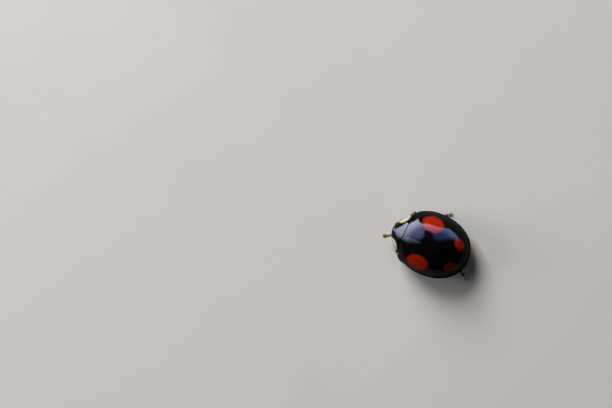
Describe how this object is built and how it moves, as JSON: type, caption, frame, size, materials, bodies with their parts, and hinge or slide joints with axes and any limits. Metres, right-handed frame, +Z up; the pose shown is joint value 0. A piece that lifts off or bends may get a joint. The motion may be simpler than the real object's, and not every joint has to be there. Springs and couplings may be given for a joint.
{
  "type": "ladybird",
  "caption": "Life-size still model of a black ladybird with red spots, standing with its wing cases shut and its feet on the floor.",
  "frame": {"origin": "on the floor under the middle of the bounding box", "axes": "+Z up, -Y the way the head faces, +X the animal's own left side"},
  "size_m": [0.0057, 0.0078, 0.0034],
  "materials": {
    "wing_cases": "polished black with orange-red spots",
    "pronotum": "polished black with cream sides",
    "head": "glossy black",
    "eyes": "glossy faceted black",
    "antennae": "satin amber brown",
    "underside": "satin brown-black",
    "thighs": "satin dark brown",
    "legs": "satin reddish brown"
  },
  "bodies": {
    "root": {"abdomen": "underside", "antenna_left": "antennae", "antenna_right": "antennae", "elytron_left": "wing_cases", "elytron_right": "wing_cases", "eye_left": "eyes", "eye_right": "eyes", "front_femur_left": "thighs", "front_femur_right": "thighs", "front_tarsus_left": "legs", "front_tarsus_right": "legs", "front_tibia_left": "legs", "front_tibia_right": "legs", "head": "head", "hind_femur_left": "thighs", "hind_femur_right": "thighs", "hind_tarsus_left": "legs", "hind_tarsus_right": "legs", "hind_tibia_left": "legs", "hind_tibia_right": "legs", "middle_femur_left": "thighs", "middle_femur_right": "thighs", "middle_tarsus_left": "legs", "middle_tarsus_right": "legs", "middle_tibia_left": "legs", "middle_tibia_right": "legs", "palp_left": "legs", "palp_right": "legs", "pronotum": "pronotum", "prothorax": "underside", "scutellum": "wing_cases", "thorax": "underside"}
  },
  "joints": []
}
